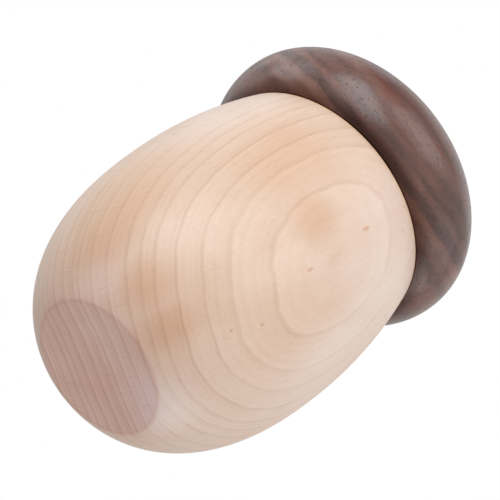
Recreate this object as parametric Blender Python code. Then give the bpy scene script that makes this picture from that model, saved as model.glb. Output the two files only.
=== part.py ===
"""Acorn-shaped wooden egg shaker.

A turned maple nut with a bored rattle chamber, a turned walnut cap whose tenon plugs the chamber's mouth, and
a layer of loose steel shot on the chamber floor.

Lengths are metres. +Z runs up the turning axis, from the flat that the shaker stands on (z = 0) to the crown.
"""

import math

import bmesh
import bpy
from mathutils import Matrix, Vector

MM = 0.001

# Driving dimensions: overall
TOTAL_HEIGHT = 71.8 * MM
SEAM_HEIGHT = 51.4 * MM
GLUE_GAP = 0.3 * MM

# Driving dimensions: nut. Its side is two superellipse arcs that meet at the belly, its widest point.
BELLY_RADIUS = 23.2 * MM
BELLY_HEIGHT = 29.9 * MM
LOWER_REACH = 32.2 * MM
LOWER_FULLNESS = 2.46
UPPER_REACH = 45.4 * MM
UPPER_FULLNESS = 1.91

# Driving dimensions: rattle chamber, a flat-bottomed bore from the nut's mouth
CHAMBER_RADIUS = 15.0 * MM
CHAMBER_FLOOR = 13.0 * MM

# Driving dimensions: cap. A rounded lip overhangs the nut, and a low dome closes over the rim.
# The lip and the dome are one cubic curve each, and the last four lengths are the curves' handles.
RIM_RADIUS = 23.7 * MM
RIM_HEIGHT = 58.9 * MM
LIP_ANGLE = math.radians(40)
LIP_HANDLE = 1.9 * MM
RIM_HANDLE_BELOW = 3.7 * MM
RIM_HANDLE_ABOVE = 7.0 * MM
CROWN_HANDLE = 12.4 * MM
TENON_LENGTH = 6.0 * MM

# Driving dimensions: loose shot, laid as hexagonal rings round a centre ball
SHOT_DIAMETER = 4.5 * MM
SHOT_PITCH = 5.5 * MM
SHOT_RINGS = 2

# Mesh resolution
TURNED_SEGMENTS = 72
LOWER_STEPS = 14
UPPER_STEPS = 6
DOME_STEPS = 14
LIP_STEPS = 7
SHOT_SEGMENTS = 16
SHOT_RING_STEPS = 10
WELD = 0.001 * MM
SHARP_ANGLE = math.radians(35)


def clear_scene():
    for obj in list(bpy.data.objects):
        bpy.data.objects.remove(obj, do_unlink=True)


def make_material(name, colour, roughness, metallic=0.0):
    material = bpy.data.materials.new(name)
    material.use_nodes = True
    shader = material.node_tree.nodes["Principled BSDF"]
    shader.inputs["Base Color"].default_value = (*colour, 1.0)
    shader.inputs["Roughness"].default_value = roughness
    shader.inputs["Metallic"].default_value = metallic
    material.diffuse_color = (*colour, 1.0)
    return material


def nut_radius(z):
    """Outer radius of the nut at height z."""
    if z < BELLY_HEIGHT:
        along = (BELLY_HEIGHT - z) / LOWER_REACH
        fullness = LOWER_FULLNESS
    else:
        along = (z - BELLY_HEIGHT) / UPPER_REACH
        fullness = UPPER_FULLNESS
    return BELLY_RADIUS * (1.0 - along**fullness) ** (1.0 / fullness)


def nut_side():
    """Outer side of the nut, from the mouth down to the base, closest together where it turns in at the base."""
    points = []
    for step in range(UPPER_STEPS):
        z = SEAM_HEIGHT + (BELLY_HEIGHT - SEAM_HEIGHT) * step / UPPER_STEPS
        points.append((nut_radius(z), z))
    for step in range(LOWER_STEPS + 1):
        z = BELLY_HEIGHT * (1.0 - math.sin(0.5 * math.pi * step / LOWER_STEPS))
        points.append((nut_radius(z), z))
    return points


def bezier(start, leave, arrive, end, steps):
    """Points of a cubic curve from start to end, both included."""
    points = []
    for step in range(steps + 1):
        t = step / steps
        s = 1.0 - t
        weights = (s**3, 3 * s * s * t, 3 * s * t * t, t**3)
        corners = (start, leave, arrive, end)
        points.append(tuple(sum(w * c[axis] for w, c in zip(weights, corners)) for axis in range(2)))
    return points


def cap_side():
    """Outer side of the cap, from the crown over the rim and in under the lip to the nut."""
    foot = (nut_radius(SEAM_HEIGHT), SEAM_HEIGHT + GLUE_GAP)
    rim = (RIM_RADIUS, RIM_HEIGHT)
    dome = bezier(
        (0.0, TOTAL_HEIGHT),
        (CROWN_HANDLE, TOTAL_HEIGHT),
        (RIM_RADIUS, RIM_HEIGHT + RIM_HANDLE_ABOVE),
        rim,
        DOME_STEPS,
    )
    lip = bezier(
        rim,
        (RIM_RADIUS, RIM_HEIGHT - RIM_HANDLE_BELOW),
        (foot[0] + LIP_HANDLE * math.cos(LIP_ANGLE), foot[1] + LIP_HANDLE * math.sin(LIP_ANGLE)),
        foot,
        LIP_STEPS,
    )
    return dome + lip[1:]


def turned_object(name, profile, material):
    """Solid of revolution about Z from a profile of (radius, height) points that starts and ends on the axis."""
    bm = bmesh.new()
    verts = [bm.verts.new((radius, 0.0, height)) for radius, height in profile]
    edges = [bm.edges.new(pair) for pair in zip(verts, verts[1:])]
    bmesh.ops.spin(
        bm,
        geom=verts + edges,
        cent=Vector((0.0, 0.0, 0.0)),
        axis=Vector((0.0, 0.0, 1.0)),
        angle=2.0 * math.pi,
        steps=TURNED_SEGMENTS,
        use_merge=True,
    )
    bmesh.ops.remove_doubles(bm, verts=bm.verts, dist=WELD)
    bmesh.ops.recalc_face_normals(bm, faces=bm.faces)
    mesh = bpy.data.meshes.new(name)
    bm.to_mesh(mesh)
    bm.free()
    mesh.shade_smooth()
    mesh.set_sharp_from_angle(angle=SHARP_ANGLE)
    mesh.materials.append(material)
    return link_object(name, mesh)


def link_object(name, mesh):
    obj = bpy.data.objects.new(name, mesh)
    bpy.context.scene.collection.objects.link(obj)
    return obj


def make_nut(material):
    profile = nut_side()
    base_radius = profile[-1][0]
    mouth = [
        (0.0, CHAMBER_FLOOR),
        (CHAMBER_RADIUS, CHAMBER_FLOOR),
        (CHAMBER_RADIUS, SEAM_HEIGHT),
    ]
    base = [(0.5 * base_radius, 0.0), (0.0, 0.0)]
    return turned_object("nut_shell", mouth + profile + base, material)


def make_cap(material):
    foot_height = SEAM_HEIGHT + GLUE_GAP
    tenon_radius = CHAMBER_RADIUS - GLUE_GAP
    tenon = [
        (tenon_radius, foot_height),
        (tenon_radius, foot_height - TENON_LENGTH),
        (0.0, foot_height - TENON_LENGTH),
    ]
    return turned_object("cap", cap_side() + tenon, material)


def shot_mesh(material):
    bm = bmesh.new()
    bmesh.ops.create_uvsphere(
        bm,
        u_segments=SHOT_SEGMENTS,
        v_segments=SHOT_RING_STEPS,
        radius=0.5 * SHOT_DIAMETER,
        matrix=Matrix.Identity(4),
    )
    mesh = bpy.data.meshes.new("shot")
    bm.to_mesh(mesh)
    bm.free()
    mesh.shade_smooth()
    mesh.materials.append(material)
    return mesh


def shot_centres():
    """Centres of one hexagonal layer, row by row."""
    height = CHAMBER_FLOOR + GLUE_GAP + 0.5 * SHOT_DIAMETER
    row_spacing = SHOT_PITCH * math.sqrt(3.0) / 2.0
    centres = []
    for row in range(-SHOT_RINGS, SHOT_RINGS + 1):
        count = 2 * SHOT_RINGS + 1 - abs(row)
        for column in range(count):
            x = SHOT_PITCH * (column - 0.5 * (count - 1))
            centres.append(Vector((x, row * row_spacing, height)))
    return centres


def make_shot(material):
    mesh = shot_mesh(material)
    balls = []
    for number, centre in enumerate(shot_centres(), start=1):
        ball = link_object(f"shot_{number:02d}", mesh)
        ball.location = centre
        balls.append(ball)
    return balls


def main():
    clear_scene()
    maple = make_material("maple", (0.73, 0.55, 0.40), 0.38)
    walnut = make_material("walnut", (0.115, 0.058, 0.043), 0.35)
    steel = make_material("steel_shot", (0.60, 0.60, 0.58), 0.25, metallic=1.0)

    pieces = [make_nut(maple), make_cap(walnut), *make_shot(steel)]

    shaker = bpy.data.objects.new("egg_shaker", None)
    bpy.context.scene.collection.objects.link(shaker)
    for piece in pieces:
        piece.parent = shaker


main()
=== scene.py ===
"""Looks of the acorn-shaped wooden egg shaker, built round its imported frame.

Lengths are metres in the frame's own axes: +Z runs up the turning axis from the foot (z = 0) to the crown.
"""

import math

import bmesh
import bpy
from mathutils import Matrix, Quaternion, Vector


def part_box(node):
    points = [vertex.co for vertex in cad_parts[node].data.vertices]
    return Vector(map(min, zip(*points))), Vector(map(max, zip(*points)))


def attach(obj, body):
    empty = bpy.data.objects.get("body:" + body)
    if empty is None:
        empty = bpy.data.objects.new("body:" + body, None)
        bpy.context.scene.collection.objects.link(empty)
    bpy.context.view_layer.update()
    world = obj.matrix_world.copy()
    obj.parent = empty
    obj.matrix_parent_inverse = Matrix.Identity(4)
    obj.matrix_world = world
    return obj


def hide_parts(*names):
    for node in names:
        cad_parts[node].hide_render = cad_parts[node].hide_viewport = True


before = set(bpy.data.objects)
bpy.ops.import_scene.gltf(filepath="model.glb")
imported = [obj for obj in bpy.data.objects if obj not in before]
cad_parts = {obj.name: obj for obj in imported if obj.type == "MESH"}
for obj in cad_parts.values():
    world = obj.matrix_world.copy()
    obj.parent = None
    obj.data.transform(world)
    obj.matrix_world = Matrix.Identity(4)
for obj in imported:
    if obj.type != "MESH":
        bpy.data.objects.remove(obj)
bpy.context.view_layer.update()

MM = 0.001

# Sizes and names read from the frame
NUT_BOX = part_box("nut_shell")
CAP_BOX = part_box("cap")
SHOT_NODES = sorted(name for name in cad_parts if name.startswith("shot_"))
BELLY_RADIUS = NUT_BOX[1].x
SEAM_HEIGHT = NUT_BOX[1].z
RIM_RADIUS = CAP_BOX[1].x
CROWN_HEIGHT = CAP_BOX[1].z
TENON_FOOT = CAP_BOX[0].z

# Shape of the turned sides, the same curves as the frame's faceted solids
GLUE_GAP = 0.3 * MM
BELLY_HEIGHT = 29.9 * MM
LOWER_REACH = 32.2 * MM
LOWER_FULLNESS = 2.46
UPPER_REACH = 45.4 * MM
UPPER_FULLNESS = 1.91
CHAMBER_RADIUS = 15.0 * MM
CHAMBER_FLOOR = 13.0 * MM
RIM_HEIGHT = 58.9 * MM
LIP_ANGLE = math.radians(40)
LIP_HANDLE = 1.9 * MM
RIM_HANDLE_BELOW = 3.7 * MM
RIM_HANDLE_ABOVE = 7.0 * MM
CROWN_HANDLE = 12.4 * MM

# Fineness of the visible meshes: segments round the axis, steps of a curve before it is respaced, steps in
# an eased corner, the spacing of points on the outer sides, the foot, the chamber's wall and the rest of the
# inside, and the distance at which two points become one
TURNED_SEGMENTS = 192
SIDE_STEPS = 400
BEZIER_STEPS = 200
CORNER_STEPS = 6
FINE_STEP = 0.45 * MM
FOOT_STEP = 0.8 * MM
WALL_STEP = 2.0 * MM
INSIDE_STEP = 1.0 * MM
WELD = 0.001 * MM

# How far from a corner its easing starts
EDGE_EASING = 0.12 * MM
FOOT_EASING = 0.5 * MM


# ---------------------------------------------------------------- shapes


def nut_radius(z):
    """Outer radius of the nut at height z."""
    if z < BELLY_HEIGHT:
        along = (BELLY_HEIGHT - z) / LOWER_REACH
        fullness = LOWER_FULLNESS
    else:
        along = (z - BELLY_HEIGHT) / UPPER_REACH
        fullness = UPPER_FULLNESS
    return BELLY_RADIUS * (1.0 - along**fullness) ** (1.0 / fullness)


def nut_side():
    """Outer side of the nut from the mouth down to the foot."""
    points = []
    for step in range(SIDE_STEPS + 1):
        turn = step / SIDE_STEPS
        z = SEAM_HEIGHT * (1.0 - math.sin(0.5 * math.pi * turn))
        points.append((nut_radius(z), z))
    return points


def bezier(start, leave, arrive, end):
    """Points of a cubic curve from start to end, both included."""
    points = []
    for step in range(BEZIER_STEPS + 1):
        t = step / BEZIER_STEPS
        s = 1.0 - t
        weights = (s**3, 3 * s * s * t, 3 * s * t * t, t**3)
        corners = (start, leave, arrive, end)
        points.append(tuple(sum(w * c[axis] for w, c in zip(weights, corners)) for axis in range(2)))
    return points


def cap_side():
    """Outer side of the cap from the crown over the rim and in under the lip to the nut."""
    foot = (nut_radius(SEAM_HEIGHT), SEAM_HEIGHT + GLUE_GAP)
    rim = (RIM_RADIUS, RIM_HEIGHT)
    dome = bezier(
        (0.0, CROWN_HEIGHT),
        (CROWN_HANDLE, CROWN_HEIGHT),
        (RIM_RADIUS, RIM_HEIGHT + RIM_HANDLE_ABOVE),
        rim,
    )
    lip = bezier(
        rim,
        (RIM_RADIUS, RIM_HEIGHT - RIM_HANDLE_BELOW),
        (foot[0] + LIP_HANDLE * math.cos(LIP_ANGLE), foot[1] + LIP_HANDLE * math.sin(LIP_ANGLE)),
        foot,
    )
    return dome + lip[1:]


def respaced(points, step):
    """The same outline with its points about one step apart."""
    vectors = [Vector(p) for p in points]
    lengths = [0.0]
    for a, b in zip(vectors, vectors[1:]):
        lengths.append(lengths[-1] + (b - a).length)
    count = max(1, round(lengths[-1] / step))
    result = []
    index = 0
    for number in range(count + 1):
        wanted = lengths[-1] * number / count
        while index < len(vectors) - 2 and lengths[index + 1] < wanted:
            index += 1
        span = lengths[index + 1] - lengths[index]
        share = (wanted - lengths[index]) / span
        result.append(vectors[index].lerp(vectors[index + 1], share))
    return result


def joined(parts, easing):
    """One outline from several that share end points, with each corner between them eased by a curve."""
    outline = list(parts[0])
    for part in parts[1:]:
        corner = Vector(part[0])
        before = trimmed(outline, corner, easing)
        after = trimmed(list(reversed(part)), corner, easing)
        after.reverse()
        start = before[-1]
        end = after[0]
        bend = []
        for step in range(1, CORNER_STEPS):
            t = step / CORNER_STEPS
            bend.append(start * (1 - t) ** 2 + corner * 2 * t * (1 - t) + end * t * t)
        outline = before + bend + after
    return outline


def trimmed(points, corner, reach):
    """The outline up to where it comes within reach of its last corner, ending exactly at that distance."""
    kept = [Vector(p) for p in points]
    while len(kept) > 2 and (kept[-2] - corner).length <= reach:
        kept.pop()
    kept.pop()
    kept.append(corner + (kept[-1] - corner).normalized() * reach)
    return kept


def turned_mesh(name, outline):
    """Solid of revolution about Z from an outline that starts and ends on the axis."""
    bm = bmesh.new()
    verts = [bm.verts.new((max(p[0], 0.0), 0.0, p[1])) for p in outline]
    edges = [bm.edges.new(pair) for pair in zip(verts, verts[1:])]
    bmesh.ops.spin(
        bm,
        geom=verts + edges,
        cent=Vector((0.0, 0.0, 0.0)),
        axis=Vector((0.0, 0.0, 1.0)),
        angle=2.0 * math.pi,
        steps=TURNED_SEGMENTS,
        use_merge=True,
    )
    bmesh.ops.remove_doubles(bm, verts=bm.verts, dist=WELD)
    bmesh.ops.recalc_face_normals(bm, faces=bm.faces)
    mesh = bpy.data.meshes.new(name)
    bm.to_mesh(mesh)
    bm.free()
    mesh.shade_smooth()
    return mesh


def add_piece(name, mesh, material, body, node):
    """Put a piece into the scene, on a body of the frame and in place of one of its nodes."""
    piece = bpy.data.objects.new(name, mesh)
    bpy.context.scene.collection.objects.link(piece)
    mesh.materials.clear()
    mesh.materials.append(material)
    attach(piece, body)
    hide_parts(node)


def make_nut(material):
    """The hollow nut, drawn from the chamber's floor up its wall, over the mouth and down to the foot."""
    side = respaced(nut_side(), FINE_STEP)
    foot_radius = side[-1][0]
    foot = respaced([(foot_radius, 0.0), (0.0, 0.0)], FOOT_STEP)
    mouth = [(CHAMBER_RADIUS, SEAM_HEIGHT), (side[0][0], SEAM_HEIGHT)]
    wall = respaced([(CHAMBER_RADIUS, CHAMBER_FLOOR), (CHAMBER_RADIUS, SEAM_HEIGHT)], WALL_STEP)
    floor = respaced([(0.0, CHAMBER_FLOOR), (CHAMBER_RADIUS, CHAMBER_FLOOR)], INSIDE_STEP)
    outline = joined([joined([floor, wall, mouth, side], EDGE_EASING), foot], FOOT_EASING)
    mesh = turned_mesh("maple_nut", outline)
    add_piece("maple_nut", mesh, material, "shell", "nut_shell")


def make_cap(material):
    """The cap, drawn from the crown over the rim, in under the lip and down the tenon."""
    side = respaced(cap_side(), FINE_STEP)
    foot_height = SEAM_HEIGHT + GLUE_GAP
    tenon_radius = CHAMBER_RADIUS - GLUE_GAP
    ledge = [(side[-1][0], foot_height), (tenon_radius, foot_height)]
    tenon = respaced([(tenon_radius, foot_height), (tenon_radius, TENON_FOOT)], INSIDE_STEP)
    end = respaced([(tenon_radius, TENON_FOOT), (0.0, TENON_FOOT)], INSIDE_STEP)
    outline = joined([side, ledge, tenon, end], EDGE_EASING)
    mesh = turned_mesh("walnut_cap", outline)
    add_piece("walnut_cap", mesh, material, "shell", "cap")


# ---------------------------------------------------------------- node helpers


def new_material(name):
    """An empty material with one Principled shader; gives the material, its node tree and the shader."""
    material = bpy.data.materials.new(name)
    material.use_nodes = True
    tree = material.node_tree
    return material, tree, tree.nodes["Principled BSDF"]


def feed(tree, socket, value):
    """Link a socket to another node's output, or set it to a plain value."""
    if isinstance(value, bpy.types.NodeSocket):
        tree.links.new(value, socket)
    else:
        socket.default_value = value


def maths(tree, operation, *values, clamp=False):
    """One step of arithmetic on numbers or on other nodes' outputs."""
    node = tree.nodes.new("ShaderNodeMath")
    node.operation = operation
    node.use_clamp = clamp
    for socket, value in zip(node.inputs, values):
        feed(tree, socket, value)
    return node.outputs["Value"]


def vector_maths(tree, operation, *values):
    """One step of arithmetic on vectors."""
    node = tree.nodes.new("ShaderNodeVectorMath")
    node.operation = operation
    for socket, value in zip(node.inputs, values):
        feed(tree, socket, value)
    return node.outputs["Value" if operation in ("DOT_PRODUCT", "LENGTH") else "Vector"]


def between(tree, value, low, high, out_low=0.0, out_high=1.0, smooth=True):
    """Map a value from one range to another, clamped, with eased ends if smooth."""
    node = tree.nodes.new("ShaderNodeMapRange")
    node.interpolation_type = "SMOOTHSTEP" if smooth else "LINEAR"
    feed(tree, node.inputs["Value"], value)
    node.inputs["From Min"].default_value = low
    node.inputs["From Max"].default_value = high
    node.inputs["To Min"].default_value = out_low
    node.inputs["To Max"].default_value = out_high
    return node.outputs["Result"]


def noise(tree, vector, stretch, detail=2.0, roughness=0.5):
    """Noise from 0 to 1 with its own number of features per unit of length in each direction."""
    node = tree.nodes.new("ShaderNodeTexNoise")
    feed(tree, node.inputs["Vector"], vector_maths(tree, "MULTIPLY", vector, stretch))
    node.inputs["Scale"].default_value = 1.0
    node.inputs["Detail"].default_value = detail
    node.inputs["Roughness"].default_value = roughness
    return node.outputs["Fac"]


def figure(tree, place, kind, out_low=0.0, out_high=1.0):
    """One of the listed figures of a wood, mapped to a range."""
    stretch, detail, roughness, low, high = kind
    return between(tree, noise(tree, place, stretch, detail, roughness), low, high, out_low, out_high)


def by_step(tree, value):
    """A fixed random number from 0 to 1 for each whole number."""
    node = tree.nodes.new("ShaderNodeTexWhiteNoise")
    node.noise_dimensions = "1D"
    feed(tree, node.inputs["W"], value)
    return node.outputs["Value"]


def curve(tree, value, points, straight=True):
    """A function of a value from 0 to 1, drawn through a list of points."""
    node = tree.nodes.new("ShaderNodeFloatCurve")
    feed(tree, node.inputs["Value"], value)
    line = node.mapping.curves[0]
    line.points[0].location = points[0]
    line.points[1].location = points[-1]
    for point in points[1:-1]:
        line.points.new(*point)
    for point in line.points:
        point.handle_type = "VECTOR" if straight else "AUTO_CLAMPED"
    node.mapping.update()
    return node.outputs["Value"]


def tint(tree, factor, colour, shade):
    """Multiply a colour by a shade as far as the factor says."""
    node = tree.nodes.new("ShaderNodeMix")
    node.data_type = "RGBA"
    node.blend_type = "MULTIPLY"
    feed(tree, node.inputs["Factor"], factor)
    feed(tree, node.inputs[6], colour)
    feed(tree, node.inputs[7], (*shade, 1.0))
    return node.outputs[2]


def mixed(tree, factor, first, second):
    """A colour between two colours."""
    node = tree.nodes.new("ShaderNodeMix")
    node.data_type = "RGBA"
    feed(tree, node.inputs["Factor"], factor)
    feed(tree, node.inputs[6], (*first, 1.0))
    feed(tree, node.inputs[7], (*second, 1.0))
    return node.outputs[2]


def wood_space(tree, middle, outward, grain):
    """Places in millimetres from a middle: x outward across the layers, y along them, z up the grain.

    Gives the places, the turn from these directions to the object's, and the node of texture coordinates.
    """
    grain = Vector(grain).normalized()
    outward = (Vector(outward) - grain * Vector(outward).dot(grain)).normalized()
    along = grain.cross(outward)
    turn = Matrix((outward, along, grain)).transposed()
    place = tree.nodes.new("ShaderNodeTexCoord")
    node = tree.nodes.new("ShaderNodeMapping")
    node.vector_type = "TEXTURE"
    node.inputs["Location"].default_value = middle
    node.inputs["Rotation"].default_value = turn.to_euler()
    node.inputs["Scale"].default_value = (MM, MM, MM)
    tree.links.new(place.outputs["Object"], node.inputs["Vector"])
    return node.outputs["Vector"], turn, place


def split(tree, vector):
    """The three parts of a vector."""
    node = tree.nodes.new("ShaderNodeSeparateXYZ")
    tree.links.new(vector, node.inputs["Vector"])
    return node.outputs


def spread(tree, *values):
    """A vector from three values."""
    node = tree.nodes.new("ShaderNodeCombineXYZ")
    for socket, value in zip(node.inputs, values):
        feed(tree, socket, value)
    return node.outputs["Vector"]


def flat_length(tree, first, second):
    """The length of a flat vector from its two parts."""
    squares = [maths(tree, "POWER", part, 2.0) for part in (first, second)]
    return maths(tree, "SQRT", maths(tree, "ADD", *squares))


def wave(tree, value, length, start, height):
    """A gentle bend: a sine of the given length and height, in millimetres."""
    turn = maths(tree, "MULTIPLY_ADD", value, 2.0 * math.pi / length, start)
    return maths(tree, "MULTIPLY", maths(tree, "SINE", turn), height)


def bumped(tree, shader, height, strength, depth):
    """Give a shader a slight relief."""
    node = tree.nodes.new("ShaderNodeBump")
    node.inputs["Strength"].default_value = strength
    node.inputs["Distance"].default_value = depth
    tree.links.new(height, node.inputs["Height"])
    tree.links.new(node.outputs["Normal"], shader.inputs["Normal"])


# ---------------------------------------------------------------- maple

# The nut was cut from a straight trunk: growth layers about 2 mm thick, curving gently round a far-off pith.
# The pith is given by the direction outward from it, the direction of the grain, and its distance from the
# foot's centre. Lengths and places in the woods are in millimetres, except those written with MM.
MAPLE_OUTWARD = (0.650, -0.758, 0.047)
MAPLE_GRAIN = (0.071, 0.122, 0.990)
MAPLE_PITH = 208.0

# Height of the first dark line across the layers, widths of the rings after it, width of all later rings,
# and half the height that the rings cover
MAPLE_FIRST_LINE = 26.6
MAPLE_RINGS = (
    1.8, 1.55, 2.4, 2.05, 2.5, 2.3, 1.65, 1.85, 2.95, 2.7, 2.25, 1.2, 2.15, 2.35, 1.85, 1.45, 1.9,
)
MAPLE_LATER_RING = 1.85
MAPLE_REACH = 30.0

# Bends of the layers up the grain and along themselves: length, start in radians, height
MAPLE_BEND_UP = (70.2, -0.22, 0.44)
MAPLE_BEND_ALONG = (23.6, 6.23, 0.27)
MAPLE_WOBBLE = ((0.16, 0.16, 0.10), 3.0, 0.6)
MAPLE_WOBBLE_HEIGHT = 0.7

# Darkness through one year, from one dark line to the next
MAPLE_YEAR_PROFILE = (
    (0.0, 1.0), (0.07, 0.55), (0.14, 0.34), (0.5, 0.2), (0.84, 0.05), (0.9, 0.1), (0.94, 0.75), (1.0, 1.0),
)

# How strong the lines are in the faintest year and under the painted sheen, how strong they are on the sides
# and how much more so on end grain, and the same two for the fine layers between them
FAINTEST_YEAR = 0.75
LINES_UNDER_PAINTED_SHEEN = 0.6
LINES_ON_SIDES = 0.95
MORE_LINES_ON_END = 0.9
LAYERS_ON_SIDES = 0.25
MORE_LAYERS_ON_END = 0.25

# How squarely the grain meets the surface, from none to all of the pink near the end grain, and from none to
# all of the end grain itself
NEAR_END = (0.45, 0.85)
FULL_END = (0.86, 0.985)

# Figures in the wood: stretch, detail and roughness of a noise, and its levels where the figure starts and
# where it is full
MAPLE_FADING = ((0.10, 0.22, 0.16), 2.0, 0.5, 0.3, 0.7)
MAPLE_FADING_RANGE = (0.7, 1.15)
MAPLE_PATCHES = ((0.09, 0.09, 0.05), 2.0, 0.5, 0.3, 0.7)
MAPLE_LAYERS = ((2.2, 1.0, 1.0), 2.0, 0.5, 0.42, 0.66)
MAPLE_FIBRES = ((2.6, 2.6, 0.16), 3.0, 0.6, 0.3, 0.75)
MAPLE_RAYS = ((0.16, 4.6, 1.0), 1.0, 0.5, 0.58, 0.74)
MAPLE_PORES = ((6.0, 6.0, 1.3), 1.0, 0.5, 0.66, 0.78)
MAPLE_PORE_DEPTH = 0.6

# Colours, and tints that colours are multiplied by
MAPLE_PALE = (0.818, 0.606, 0.472)
MAPLE_HONEY = (0.776, 0.532, 0.388)
MAPLE_LINE_TINT = (0.86, 0.79, 0.74)
MAPLE_FIBRE_TINT = (0.975, 0.96, 0.95)
MAPLE_RAY_TINT = (0.94, 0.91, 0.89)
MAPLE_FLECK_TINT = (0.82, 0.62, 0.46)
MAPLE_NEAR_END_TINT = (1.05, 1.015, 1.04)
MAPLE_END_TINT = (1.07, 1.01, 1.09)
# Painted reflection of the brown cap at the nut's mouth
MAPLE_MOUTH_REFLECTION_TINT = (0.96, 0.88, 0.72)
# Painted shade along the foot's edge
FOOT_EDGE_SHADE_TINT = (0.96, 0.92, 0.88)
HONEY_TINT = (0.90, 0.79, 0.66)
# The whitening of the painted sheen, where light glances off the wood
PAINTED_SHEEN_TINT = (1.04, 1.13, 1.25)

# Small brown mineral marks: place, length, width and depth of colour
MAPLE_FLECKS = (
    ((14.1, -17.7, 39.2), 2.1, 0.6, 0.9),
    ((14.1, -18.3, 25.2), 1.5, 0.55, 0.8),
    ((15.2, -15.1, 13.9), 0.8, 0.5, 0.9),
    ((13.0, -14.9, 9.4), 0.7, 0.5, 0.9),
    ((14.0, -14.8, 50.4), 0.6, 0.4, 0.9),
    ((16.4, -13.2, 48.0), 0.5, 0.4, 0.9),
)

# Soft patches of honey-coloured wood, and whiter patches of painted sheen: place, length, width and depth of
# colour
HONEY_PATCHES = (
    ((-12.5, -15.5, 13.0), 28.0, 15.0, 1.0),
    ((0.0, -16.6, 4.7), 12.0, 8.0, 0.9),
    ((6.5, -13.5, 3.0), 10.0, 7.0, 0.8),
    ((9.2, -21.3, 30.8), 10.0, 8.0, 1.0),
    ((-1.0, -22.5, 34.0), 26.0, 15.0, 0.8),
)
PAINTED_SHEEN_PATCHES = (
    ((18.0, -13.0, 43.0), 34.0, 26.0, 1.0),
    ((22.5, -4.0, 26.0), 30.0, 18.0, 1.0),
    ((10.5, -2.0, 1.0), 9.0, 12.0, 1.0),
    ((-6.5, -12.5, 2.2), 7.0, 7.0, 0.7),
    ((-14.0, -17.0, 38.0), 32.0, 14.0, 0.8),
)

# Where a spot ends and where it is full, in its own half widths and half lengths
FLECK_FADE = (1.25, 0.45)
HONEY_FADE = (1.5, 0.2)
PAINTED_SHEEN_FADE = (1.4, 0.3)

# The warm band at the nut's mouth, a painted reflection of the brown cap, measured down from the seam, and
# the dark line of painted shade round the foot's edge: a pair says where it ends and where it is full
MOUTH_REFLECTION_BAND = (1.0 * MM, 0.2 * MM)
FOOT_LINE_INSET = 0.1 * MM
FOOT_LINE_HALF_WIDTH = (0.45 * MM, 0.1 * MM)
FOOT_LINE_TOP = (1.0 * MM, 0.5 * MM)

# Satin varnish: reflectivity, a thin soft coat, the faint sheen of fine fibres, roughness, the fibres' share
# in the relief, and the relief's strength and depth
VARNISH = 0.8
VARNISH_COAT = 0.15
VARNISH_COAT_ROUGHNESS = 0.40
FIBRE_SHEEN = 0.15
FIBRE_SHEEN_ROUGHNESS = 0.5
MAPLE_ROUGHNESS = 0.43
MAPLE_END_ROUGHER = 0.08
MAPLE_FIBRES_ROUGHER = 0.06
FIBRE_RELIEF = 0.5
MAPLE_BUMP = (0.25, 0.02 * MM)


def maple_level(tree, space):
    """Height across the growth layers, from the middle of the nut outward, with the layers' bends."""
    across, along, up = split(tree, space)
    level = maths(tree, "SUBTRACT", flat_length(tree, across, along), MAPLE_PITH)
    level = maths(tree, "ADD", level, wave(tree, up, *MAPLE_BEND_UP))
    level = maths(tree, "ADD", level, wave(tree, along, *MAPLE_BEND_ALONG))
    wobble = maths(tree, "SUBTRACT", noise(tree, space, *MAPLE_WOBBLE), 0.5)
    return maths(tree, "ADD", level, maths(tree, "MULTIPLY", wobble, MAPLE_WOBBLE_HEIGHT))


def maple_year(tree, level):
    """The number of growth layers counted in from the bark side, whole at each dark line."""
    span = 2.0 * MAPLE_REACH
    lines = [MAPLE_FIRST_LINE]
    for width in MAPLE_RINGS:
        lines.append(lines[-1] - width)
    while lines[-1] > -MAPLE_REACH:
        lines.append(lines[-1] - MAPLE_LATER_RING)
    count = len(lines)
    points = [(1.0, 0.0)]
    for number, line in enumerate(lines):
        points.append((max((line + MAPLE_REACH) / span, 0.0), (number + 1) / (count + 1)))
    points.reverse()
    share = maths(tree, "DIVIDE", maths(tree, "ADD", level, MAPLE_REACH), span, clamp=True)
    return maths(tree, "MULTIPLY", curve(tree, share, points), count + 1)


def maple_lines(tree, space, level, end_grain, white):
    """Darkness of the growth lines: different each year, fading in places and under the painted sheen,
    stronger on end grain.
    """
    year = maple_year(tree, level)
    line = curve(tree, maths(tree, "FRACT", year), MAPLE_YEAR_PROFILE)
    chance = by_step(tree, maths(tree, "ROUND", year))
    strength = between(tree, chance, 0.0, 1.0, FAINTEST_YEAR, 1.0, smooth=False)
    fading = figure(tree, space, MAPLE_FADING, *MAPLE_FADING_RANGE)
    deeper = maths(tree, "MULTIPLY_ADD", end_grain, MORE_LINES_ON_END, LINES_ON_SIDES)
    line = maths(tree, "MULTIPLY", line, strength)
    line = maths(tree, "MULTIPLY", line, maths(tree, "MULTIPLY", fading, deeper))
    return maths(tree, "MULTIPLY", line, between(tree, white, 0.0, 1.0, 1.0, LINES_UNDER_PAINTED_SHEEN))


def spots(tree, wood, places, fade):
    """How strongly a point lies in one of the listed spots, ellipsoids whose length runs up the grain.

    A wood is what wood_space gives for it, with the middle that it was given.
    """
    space, turn, middle = wood
    edge, core = fade
    total = None
    for spot, length, width, depth in places:
        centre = turn.transposed() @ (Vector(spot) - middle / MM)
        apart = vector_maths(tree, "SUBTRACT", space, centre)
        apart = vector_maths(tree, "DIVIDE", apart, (0.5 * width, 0.5 * width, 0.5 * length))
        mark = between(tree, vector_maths(tree, "LENGTH", apart), edge, core, 0.0, depth)
        total = mark if total is None else maths(tree, "MAXIMUM", total, mark)
    return total


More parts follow.
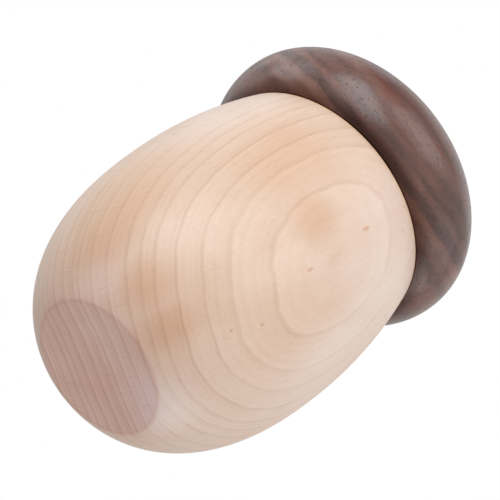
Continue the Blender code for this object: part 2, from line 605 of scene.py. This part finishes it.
def foot_edge_shade(tree, place):
    """A thin line of painted shade round the edge of the foot."""
    right, back, up = split(tree, place)
    line_radius = nut_radius(0.0) - FOOT_LINE_INSET
    away = maths(tree, "SUBTRACT", flat_length(tree, right, back), line_radius)
    near = between(tree, maths(tree, "ABSOLUTE", away), *FOOT_LINE_HALF_WIDTH)
    return maths(tree, "MULTIPLY", near, between(tree, up, *FOOT_LINE_TOP))


def mouth_reflection(tree, place):
    """The warm band at the top of the nut, next to the seam: a painted reflection of the brown cap."""
    return between(tree, split(tree, place)[2], *(SEAM_HEIGHT - below for below in MOUTH_REFLECTION_BAND))


def varnished(tree, shader, end_grain, fibres, pores):
    """The nut's satin finish."""
    gloss = maths(tree, "MULTIPLY_ADD", end_grain, MAPLE_END_ROUGHER, MAPLE_ROUGHNESS)
    gloss = maths(tree, "MULTIPLY_ADD", fibres, MAPLE_FIBRES_ROUGHER, gloss)
    tree.links.new(gloss, shader.inputs["Roughness"])
    relief = maths(tree, "SUBTRACT", maths(tree, "MULTIPLY", fibres, FIBRE_RELIEF), pores)
    bumped(tree, shader, relief, *MAPLE_BUMP)
    shader.inputs["Specular IOR Level"].default_value = VARNISH
    shader.inputs["Coat Weight"].default_value = VARNISH_COAT
    shader.inputs["Coat Roughness"].default_value = VARNISH_COAT_ROUGHNESS
    shader.inputs["Sheen Weight"].default_value = FIBRE_SHEEN
    shader.inputs["Sheen Roughness"].default_value = FIBRE_SHEEN_ROUGHNESS


def make_maple():
    """The pale, varnished wood of the nut."""
    material, tree, shader = new_material("turned_maple")
    middle = -Vector(MAPLE_OUTWARD).normalized() * MAPLE_PITH * MM
    space, turn, place = wood_space(tree, middle, MAPLE_OUTWARD, MAPLE_GRAIN)
    wood = (space, turn, middle)
    level = maple_level(tree, space)
    facing = vector_maths(tree, "DOT_PRODUCT", place.outputs["Normal"], turn.col[2])
    squarely = maths(tree, "ABSOLUTE", facing)
    end_grain = between(tree, squarely, *FULL_END)
    # Patches of painted sheen
    white = spots(tree, wood, PAINTED_SHEEN_PATCHES, PAINTED_SHEEN_FADE)
    fibres = figure(tree, space, MAPLE_FIBRES)
    pores = figure(tree, space, MAPLE_PORES)

    colour = mixed(tree, figure(tree, space, MAPLE_PATCHES), MAPLE_PALE, MAPLE_HONEY)
    colour = tint(tree, maple_lines(tree, space, level, end_grain, white), colour, MAPLE_LINE_TINT)
    layers = figure(tree, spread(tree, level, 0.0, 0.0), MAPLE_LAYERS)
    layers_deeper = maths(tree, "MULTIPLY_ADD", end_grain, MORE_LAYERS_ON_END, LAYERS_ON_SIDES)
    layers = maths(tree, "MULTIPLY", layers, layers_deeper)
    colour = tint(tree, layers, colour, MAPLE_LINE_TINT)
    colour = tint(tree, fibres, colour, MAPLE_FIBRE_TINT)
    colour = tint(tree, figure(tree, space, MAPLE_RAYS), colour, MAPLE_RAY_TINT)
    colour = tint(tree, maths(tree, "MULTIPLY", pores, MAPLE_PORE_DEPTH), colour, MAPLE_LINE_TINT)
    colour = tint(tree, spots(tree, wood, HONEY_PATCHES, HONEY_FADE), colour, HONEY_TINT)
    # Painted sheen: whiter where light glances off the wood
    colour = tint(tree, white, colour, PAINTED_SHEEN_TINT)
    colour = tint(tree, spots(tree, wood, MAPLE_FLECKS, FLECK_FADE), colour, MAPLE_FLECK_TINT)
    colour = tint(tree, between(tree, squarely, *NEAR_END), colour, MAPLE_NEAR_END_TINT)
    colour = tint(tree, end_grain, colour, MAPLE_END_TINT)
    # Painted reflection of the brown cap at the mouth
    colour = tint(tree, mouth_reflection(tree, place.outputs["Object"]), colour, MAPLE_MOUTH_REFLECTION_TINT)
    # Painted shade round the edge of the foot
    colour = tint(tree, foot_edge_shade(tree, place.outputs["Object"]), colour, FOOT_EDGE_SHADE_TINT)
    tree.links.new(colour, shader.inputs["Base Color"])
    varnished(tree, shader, end_grain, fibres, pores)
    return material


# ---------------------------------------------------------------- walnut

# The cap was cut with its grain level, from a board whose layers lean over the rim.
WALNUT_OUTWARD = (0.160, -0.551, 0.818)
WALNUT_GRAIN = (0.946, 0.321, 0.031)

# Distance from the foot's centre at which heights across the layers are zero, and the layers' wobble
WALNUT_MIDDLE = 57.27
WALNUT_WOBBLE = ((0.25, 0.25, 0.05), 3.0, 0.55)
WALNUT_WOBBLE_HEIGHT = 1.6

# Streaks from under the lip up to the crown: height across the layers in millimetres, and lightness
WALNUT_STREAKS = (
    (-30.0, 0.4), (-26.0, 0.2), (-23.5, 0.5), (-20.0, 0.25), (-17.0, 0.6), (-14.5, 0.3), (-12.5, 0.5),
    (-9.8, 0.68), (-7.6, 0.38), (-6.2, 0.76), (-5.6, 0.64), (-5.0, 0.95), (-3.8, 0.34), (-2.9, 0.2),
    (-1.5, 0.7), (-0.7, 0.3), (0.3, 0.5), (1.6, 0.36), (2.9, 0.62), (4.3, 0.24), (5.8, 0.12), (7.0, 0.2),
    (10.0, 0.3),
)

# Heights across the layers where the redder wood starts and where it is full, and its depth of colour
RED_ZONE = (3.3, 4.3)
RED_ZONE_DEPTH = 0.9

# Soft patches of painted shade on the cap's rim, under it and near the seam: place, length, width and depth
# of colour
WALNUT_PAINTED_SHADES = (
    ((19.5, -11.5, 59.0), 26.0, 14.0, 1.0),
    ((3.0, -21.0, 52.8), 22.0, 5.0, 0.9),
    ((21.0, -6.0, 54.5), 16.0, 8.0, 0.7),
)
PAINTED_SHADE_FADE = (1.4, 0.3)

# Figures in the wood: stretch, detail and roughness of a noise, and its levels where the figure starts and
# where it is full
WALNUT_FINE = ((1.1, 1.1, 0.05), 3.0, 0.6, 0.25, 0.75)
WALNUT_FINE_RANGE = (-0.14, 0.14)
WALNUT_WARM = ((0.3, 0.3, 0.03), 2.0, 0.5, 0.35, 0.7)
WALNUT_WARM_DEPTH = 0.5
WALNUT_PORES = ((3.4, 3.4, 1.1), 1.0, 0.5, 0.58, 0.72)
WALNUT_PORE_DEPTH = 0.6

# Colours, and tints that colours are multiplied by
WALNUT_DARK = (0.066, 0.025, 0.0168)
WALNUT_LIGHT = (0.248, 0.127, 0.098)
WALNUT_RED_TINT = (1.06, 0.60, 0.41)
# The lip's tint paints shade under the lip, next to the nut
WALNUT_LIP_SHADE_TINT = (0.54, 0.45, 0.40)
WALNUT_PORE_TINT = (0.40, 0.36, 0.36)
# The tint of the patches of painted shade
WALNUT_PAINTED_SHADE_TINT = (0.58, 0.44, 0.38)

# The zone of painted shade under the lip, next to the nut, darker and with dulled reflections: where it ends
# and where it is full, above the seam
LIP_SHADE_ZONE = (2.4 * MM, 0.3 * MM)
LIP_SHADE_DULLING = 0.65

# Oiled finish: reflectivity, roughness, and the relief's strength and depth
OIL = 0.75
WALNUT_ROUGHNESS = 0.23
WALNUT_FINE_ROUGHER = 0.15
WALNUT_PORES_ROUGHER = 0.25
WALNUT_BUMP = (0.35, 0.03 * MM)


def walnut_streaks(tree, level):
    """Lightness of the streaks at a height across the layers."""
    low = WALNUT_STREAKS[0][0]
    span = WALNUT_STREAKS[-1][0] - low
    share = maths(tree, "DIVIDE", maths(tree, "SUBTRACT", level, low), span, clamp=True)
    points = [((height - low) / span, light) for height, light in WALNUT_STREAKS]
    return curve(tree, share, points, straight=False)


def lip_shade_zone(tree, place):
    """How far a point lies in the painted shade under the cap's lip, next to the nut."""
    return between(tree, split(tree, place)[2], *(SEAM_HEIGHT + above for above in LIP_SHADE_ZONE))


def oiled(tree, shader, fine, pores, lip):
    """The cap's finish, with its reflections dulled under the lip to stand in for the shade there."""
    gloss = maths(tree, "MULTIPLY_ADD", fine, WALNUT_FINE_ROUGHER, WALNUT_ROUGHNESS)
    gloss = maths(tree, "MULTIPLY_ADD", pores, WALNUT_PORES_ROUGHER, gloss)
    tree.links.new(gloss, shader.inputs["Roughness"])
    bumped(tree, shader, maths(tree, "SUBTRACT", fine, pores), *WALNUT_BUMP)
    shader.inputs["Specular IOR Level"].default_value = OIL
    # Duller reflections under the lip stand in for the shade there
    dulled = maths(tree, "MULTIPLY_ADD", lip, -LIP_SHADE_DULLING * OIL, OIL)
    tree.links.new(dulled, shader.inputs["Specular IOR Level"])


def make_walnut():
    """The dark, oiled wood of the cap."""
    material, tree, shader = new_material("turned_walnut")
    middle = Vector(WALNUT_OUTWARD).normalized() * WALNUT_MIDDLE * MM
    space, turn, place = wood_space(tree, middle, WALNUT_OUTWARD, WALNUT_GRAIN)
    wobble = maths(tree, "SUBTRACT", noise(tree, space, *WALNUT_WOBBLE), 0.5)
    wobble = maths(tree, "MULTIPLY", wobble, WALNUT_WOBBLE_HEIGHT)
    level = maths(tree, "ADD", split(tree, space)[0], wobble)
    fine = figure(tree, space, WALNUT_FINE, *WALNUT_FINE_RANGE)
    pores = figure(tree, space, WALNUT_PORES)
    lip = lip_shade_zone(tree, place.outputs["Object"])

    tone = maths(tree, "ADD", walnut_streaks(tree, level), fine, clamp=True)
    colour = mixed(tree, tone, WALNUT_DARK, WALNUT_LIGHT)
    red = maths(tree, "MULTIPLY", between(tree, level, *RED_ZONE), RED_ZONE_DEPTH)
    colour = tint(tree, red, colour, WALNUT_RED_TINT)
    warm = maths(tree, "MULTIPLY", figure(tree, space, WALNUT_WARM), WALNUT_WARM_DEPTH)
    colour = tint(tree, warm, colour, WALNUT_RED_TINT)
    # Painted shade under the lip, next to the nut
    colour = tint(tree, lip, colour, WALNUT_LIP_SHADE_TINT)
    # Painted shade on the rim, under it and near the seam
    painted_shades = spots(tree, (space, turn, middle), WALNUT_PAINTED_SHADES, PAINTED_SHADE_FADE)
    colour = tint(tree, painted_shades, colour, WALNUT_PAINTED_SHADE_TINT)
    colour = tint(tree, maths(tree, "MULTIPLY", pores, WALNUT_PORE_DEPTH), colour, WALNUT_PORE_TINT)
    tree.links.new(colour, shader.inputs["Base Color"])
    oiled(tree, shader, fine, pores, lip)
    return material


# ---------------------------------------------------------------- steel

STEEL_LIGHT = (0.58, 0.57, 0.55)
STEEL_DARK = (0.40, 0.39, 0.38)

# Marks on the steel: features per metre in three directions, detail and roughness of the noise
STEEL_MARKS = ((900.0, 900.0, 900.0), 4.0, 0.6)

# Noise levels from light to dark steel, noise levels from glossiest to roughest, those roughnesses, and the
# relief's strength and depth
STEEL_COLOUR_LEVELS = (0.35, 0.75)
STEEL_GLOSS_LEVELS = (0.3, 0.8)
STEEL_ROUGHNESS = (0.16, 0.42)
STEEL_BUMP = (0.1, 0.02 * MM)

# Cuts along each edge of the cube that a ball is made from
BALL_CUTS = 11

# Dents in a ball: depth as a share of the radius, number of waves in three directions, and their shift from
# ball to ball
DENT_DEPTH = 0.004
DENT_WAVES = (9.0, 7.0, 5.0)
DENT_SHIFT = 40.0


def make_steel():
    """Plain bright steel with faint marks."""
    material, tree, shader = new_material("shot_steel")
    place = tree.nodes.new("ShaderNodeTexCoord")
    marks = noise(tree, place.outputs["Object"], *STEEL_MARKS)
    colour = mixed(tree, between(tree, marks, *STEEL_COLOUR_LEVELS), STEEL_LIGHT, STEEL_DARK)
    tree.links.new(colour, shader.inputs["Base Color"])
    shader.inputs["Metallic"].default_value = 1.0
    gloss = between(tree, marks, *STEEL_GLOSS_LEVELS, *STEEL_ROUGHNESS)
    tree.links.new(gloss, shader.inputs["Roughness"])
    bumped(tree, shader, marks, *STEEL_BUMP)
    return material


def dented_radius(way, middle, radius):
    """Distance of a ball's surface from its middle, in a direction."""
    swell = math.sin(DENT_WAVES[0] * way.x + DENT_SHIFT * middle.x / radius)
    cross = math.sin(DENT_WAVES[1] * way.y + DENT_WAVES[2] * way.z)
    return radius * (1.0 - abs(DENT_DEPTH * swell * cross))


def make_shot(material):
    """Cast steel balls with a slightly uneven surface, one for each ball of the frame."""
    for name in SHOT_NODES:
        low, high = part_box(name)
        middle = (low + high) / 2.0
        radius = (high.x - low.x) / 2.0
        bm = bmesh.new()
        bmesh.ops.create_cube(bm, size=2.0)
        bmesh.ops.subdivide_edges(bm, edges=bm.edges, cuts=BALL_CUTS, use_grid_fill=True)
        for vert in bm.verts:
            way = vert.co.normalized()
            vert.co = middle + way * dented_radius(way, middle, radius)
        mesh = bpy.data.meshes.new(name + "_ball")
        bm.to_mesh(mesh)
        bm.free()
        mesh.shade_smooth()
        add_piece(name + "_ball", mesh, material, name, name)


# ---------------------------------------------------------------- camera, lights, floor

# The camera looks up at the foot from below, and the picture is turned so that the crown points to the upper
# right. It aims at a point of the turning axis, shifted a little across the picture. The lens and the sensor
# are in millimetres of film.
CAMERA_AZIMUTH = math.radians(20)
CAMERA_RISE = math.radians(-39.64)
CAMERA_ROLL = math.radians(53.32)
CAMERA_DISTANCE = 505.7 * MM
AIM_HEIGHT = 36.5 * MM
AIM_RIGHT = -0.352 * MM
AIM_UP = 0.444 * MM
LENS = 237.6
SENSOR_WIDTH = 36.0
NEAREST_SEEN = 0.01
FARTHEST_SEEN = 10.0


def place_camera():
    """The camera, placed for the photograph's view."""
    data = bpy.data.cameras.new("camera")
    data.lens = LENS
    data.sensor_width = SENSOR_WIDTH
    data.clip_start = NEAREST_SEEN
    data.clip_end = FARTHEST_SEEN
    camera = bpy.data.objects.new("camera", data)
    bpy.context.scene.collection.objects.link(camera)
    level = Vector((math.sin(CAMERA_AZIMUTH), -math.cos(CAMERA_AZIMUTH), 0.0))
    back = level * math.cos(CAMERA_RISE) + Vector((0.0, 0.0, math.sin(CAMERA_RISE)))
    camera.rotation_mode = "QUATERNION"
    turn = (-back).to_track_quat("-Z", "Y") @ Quaternion((0.0, 0.0, 1.0), CAMERA_ROLL)
    camera.rotation_quaternion = turn
    aim = Vector((0.0, 0.0, AIM_HEIGHT)) + turn @ Vector((AIM_RIGHT, AIM_UP, 0.0))
    camera.location = aim + back * CAMERA_DISTANCE
    bpy.context.scene.camera = camera
    bpy.context.view_layer.update()
    return camera


# The panels' slightly cool white, their distance, and how far off the picture's up or down a panel may be,
# as a sine, and still count as straight above or below
SKYLIGHT = (0.90, 0.96, 1.0)
PANEL_DISTANCE = 0.4
NEARLY_STRAIGHT = 0.1


def panel(name, camera, direction, width, height, brightness):
    """A soft, cool white panel facing the shaker from (right, up, towards the camera) in the picture."""
    data = bpy.data.lights.new(name, "AREA")
    data.shape = "RECTANGLE"
    data.size = width
    data.size_y = height
    data.energy = brightness * math.pi * width * height
    data.color = SKYLIGHT
    light = bpy.data.objects.new(name, data)
    bpy.context.scene.collection.objects.link(light)
    turn = camera.matrix_world.to_quaternion()
    way = turn @ Vector(direction).normalized()
    aside = (turn @ Vector((0.0, 1.0, 0.0))).cross(way)
    if aside.length < NEARLY_STRAIGHT:
        aside = turn @ Vector((1.0, 0.0, 0.0))
    aside.normalize()
    frame_axes = Matrix((aside, way.cross(aside), way)).transposed()
    light.rotation_mode = "QUATERNION"
    light.rotation_quaternion = frame_axes.to_quaternion()
    light.location = Vector((0.0, 0.0, 0.5 * CROWN_HEIGHT)) + way * PANEL_DISTANCE
    light.visible_camera = False


# Brightness of the white surroundings towards each side of the picture (right, up, towards the camera)
SURROUNDINGS = (
    ((1, 0, 0), 0.76),
    ((-1, 0, 0), 0.20),
    ((0, 0, 1), 0.37),
    ((0, 0, -1), 0.38),
)

# Soft panels: name, side of the picture (right, up, towards the camera), width and height in metres, and
# brightness
PANELS = (
    ("over_camera", (0.0, 0.8, 0.6), 0.50, 0.28, 0.45),
    ("above", (-0.25, 1.0, 0.1), 0.70, 0.28, 0.28),
    ("highlight", (-0.05, 0.78, 0.63), 0.20, 0.42, 2.1),
    ("upper_left", (-0.6, 0.85, -0.1), 0.20, 0.20, 1.3),
    ("below", (0.0, -1.0, 0.0), 0.30, 0.20, 1.8),
    ("low_right", (0.7, -0.7, 0.1), 0.30, 0.30, 0.48),
    ("right", (0.75, 0.5, 0.45), 0.30, 0.30, 0.95),
    ("behind_left", (-1.0, 1.0, -1.0), 0.30, 0.30, 0.31),
    ("behind_above", (0.0, 1.0, -0.8), 0.40, 0.30, 0.35),
    ("behind_right", (1.0, 0.3, -0.9), 0.30, 0.30, 0.25),
)


def make_world(camera):
    """White surroundings, brighter to some sides, that the camera itself sees as plain white."""
    world = bpy.data.worlds.new("studio")
    bpy.context.scene.world = world
    world.use_nodes = True
    tree = world.node_tree
    tree.nodes.clear()
    turn = camera.matrix_world.to_quaternion()
    place = tree.nodes.new("ShaderNodeTexCoord")
    strength = None
    for side, power in SURROUNDINGS:
        facing = vector_maths(tree, "DOT_PRODUCT", place.outputs["Generated"], turn @ Vector(side))
        lobe = maths(tree, "POWER", maths(tree, "MULTIPLY_ADD", facing, 0.5, 0.5), 2.0)
        lobe = maths(tree, "MULTIPLY", lobe, power)
        strength = lobe if strength is None else maths(tree, "ADD", strength, lobe)
    out = tree.nodes.new("ShaderNodeOutputWorld")
    seen = tree.nodes.new("ShaderNodeBackground")
    cast = tree.nodes.new("ShaderNodeBackground")
    for background in (seen, cast):
        background.inputs["Color"].default_value = (1.0, 1.0, 1.0, 1.0)
    tree.links.new(strength, cast.inputs["Strength"])
    rays = tree.nodes.new("ShaderNodeLightPath")
    mix = tree.nodes.new("ShaderNodeMixShader")
    tree.links.new(rays.outputs["Is Camera Ray"], mix.inputs["Fac"])
    tree.links.new(cast.outputs[0], mix.inputs[1])
    tree.links.new(seen.outputs[0], mix.inputs[2])
    tree.links.new(mix.outputs[0], out.inputs["Surface"])


# The floor: half its width, its grey and roughness, and the distances from the shaker between which it fades
# into the white surroundings
FLOOR_REACH = 3.0
FLOOR_GREY = 0.86
FLOOR_ROUGHNESS = 0.6
FLOOR_FADE_FROM = 0.15
FLOOR_FADE_TO = 0.9


def make_floor():
    """A pale floor that is seen only from above, so that the camera can look up at the foot.

    It holds back no light from below and throws none on the shaker.
    """
    bm = bmesh.new()
    bmesh.ops.create_grid(bm, x_segments=2, y_segments=2, size=FLOOR_REACH)
    mesh = bpy.data.meshes.new("floor")
    bm.to_mesh(mesh)
    bm.free()
    floor = bpy.data.objects.new("floor", mesh)
    bpy.context.scene.collection.objects.link(floor)
    material, tree, shader = new_material("pale_floor")
    shader.inputs["Base Color"].default_value = (FLOOR_GREY, FLOOR_GREY, FLOOR_GREY, 1.0)
    shader.inputs["Roughness"].default_value = FLOOR_ROUGHNESS
    clear = tree.nodes.new("ShaderNodeBsdfTransparent")
    side = tree.nodes.new("ShaderNodeNewGeometry")
    away = vector_maths(tree, "LENGTH", side.outputs["Position"])
    fade = between(tree, away, FLOOR_FADE_FROM, FLOOR_FADE_TO)
    mix = tree.nodes.new("ShaderNodeMixShader")
    tree.links.new(maths(tree, "MAXIMUM", side.outputs["Backfacing"], fade), mix.inputs["Fac"])
    tree.links.new(shader.outputs[0], mix.inputs[1])
    tree.links.new(clear.outputs[0], mix.inputs[2])
    tree.links.new(mix.outputs[0], tree.nodes["Material Output"].inputs["Surface"])
    mesh.materials.append(material)
    floor.visible_shadow = False
    floor.visible_diffuse = False
    floor.visible_glossy = False


def main():
    """Build the stage and every piece."""
    camera = place_camera()
    make_world(camera)
    make_floor()
    for name, direction, width, height, brightness in PANELS:
        panel(name, camera, direction, width, height, brightness)
    bpy.context.scene.view_settings.view_transform = "Standard"
    make_nut(make_maple())
    make_cap(make_walnut())
    make_shot(make_steel())


main()
